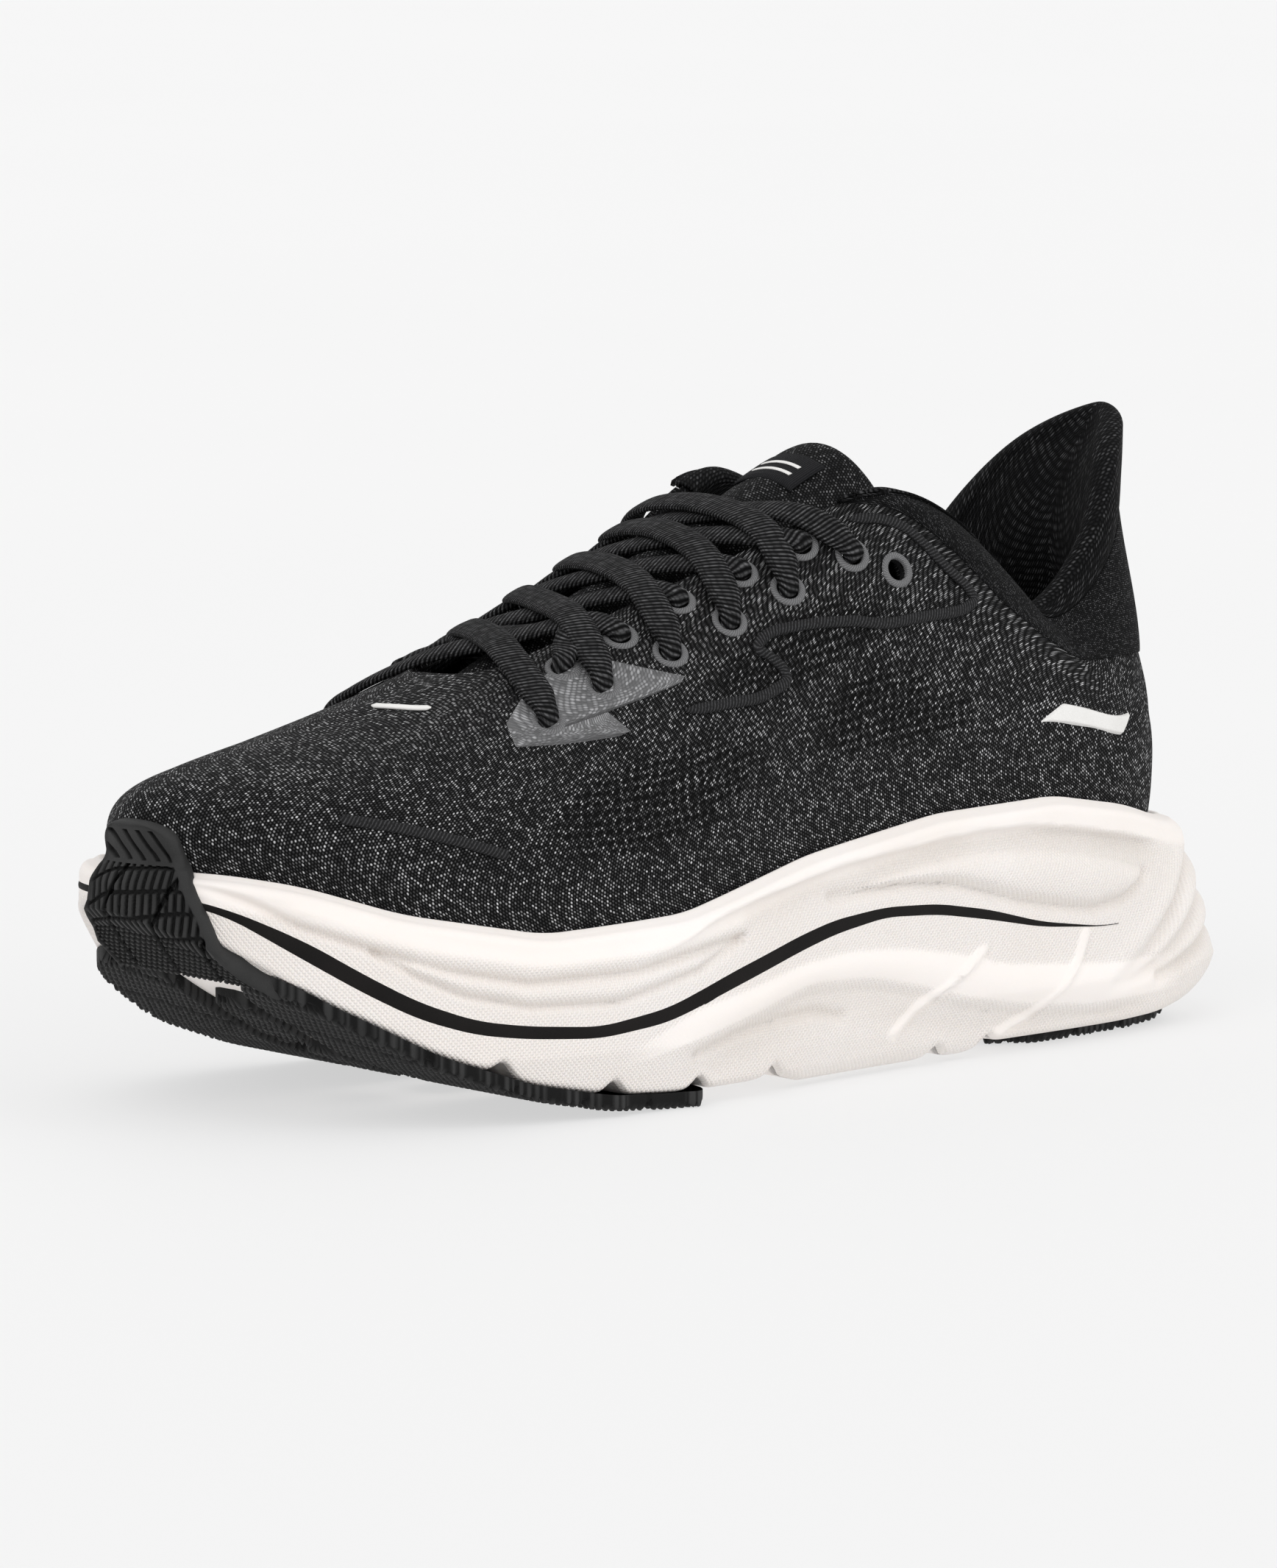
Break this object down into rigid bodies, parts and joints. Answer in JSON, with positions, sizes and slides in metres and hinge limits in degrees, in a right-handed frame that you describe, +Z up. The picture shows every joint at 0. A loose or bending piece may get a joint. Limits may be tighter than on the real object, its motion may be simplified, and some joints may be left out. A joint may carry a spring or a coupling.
{
  "type": "running shoe",
  "caption": "Left running shoe with a thick rockered foam sole, knit upper, padded collar with flared heel tab, gusseted tongue and criss-cross lace.",
  "frame": {"origin": "bottom centre of the bounding box, on the ground under the shoe", "axes": "+X towards the heel, +Y towards the medial (inner) side, +Z up; the toe points to -X"},
  "size_m": [0.3114, 0.115, 0.1418],
  "materials": {
    "foam_white": "matte",
    "stripe_black": "satin",
    "rubber_black": "matte",
    "board_grey": "matte",
    "insole_foam": "matte",
    "insole_cloth": "matte",
    "knit_black": "matte",
    "lining_black": "matte",
    "stiffener": "matte",
    "collar_foam": "matte",
    "film_grey": "satin",
    "thread_grey": "satin",
    "mark_white": "satin",
    "lace_black": "matte",
    "label_black": "satin",
    "lace_tip": "gloss"
  },
  "bodies": {
    "shoe": {"collar_foam": "collar_foam", "collar_lining": "lining_black", "eyelet_rings_lateral": "film_grey", "eyelet_rings_medial": "film_grey", "eyestay_backing_lateral": "stiffener", "eyestay_backing_medial": "stiffener", "heel_badge_lateral": "mark_white", "heel_counter": "stiffener", "lace": "lace_black", "lace_tips": "lace_tip", "midsole": "foam_white", "midsole_stripe_lateral": "stripe_black", "midsole_stripe_medial": "stripe_black", "outsole_center_pods": "rubber_black", "outsole_forefoot_lateral": "rubber_black", "outsole_forefoot_medial": "rubber_black", "outsole_heel_lateral": "rubber_black", "outsole_heel_medial": "rubber_black", "outsole_toe": "rubber_black", "quarter_line_lateral": "thread_grey", "quarter_line_medial": "thread_grey", "quarter_lining": "lining_black", "strobel_board": "board_grey", "toe_bumper": "rubber_black", "toe_line_lateral": "thread_grey", "toe_puff": "stiffener", "tongue_cover": "knit_black", "tongue_foam": "collar_foam", "tongue_lining": "lining_black", "upper_knit": "knit_black", "vamp_bar": "mark_white", "vamp_lining": "lining_black"},
    "tongue_top": {"tongue_top_cover": "knit_black", "tongue_top_foam": "collar_foam", "tongue_top_lining": "lining_black", "tongue_label": "label_black"},
    "insole": {"insole_foam": "insole_foam", "insole_cover": "insole_cloth"}
  },
  "joints": [
    {"name": "tongue_top_hinge", "type": "hinge", "parent": "shoe", "child": "tongue_top", "pos_m": [0.02567, -0.0005, 0.1316], "axis": [0, -1, 0], "range_deg": [0, 40]},
    {"name": "insole_lift", "type": "hinge", "parent": "shoe", "child": "insole", "pos_m": [-0.14333, -0.0005, 0.0472], "axis": [0, -1, 0], "range_deg": [0, 4]}
  ]
}
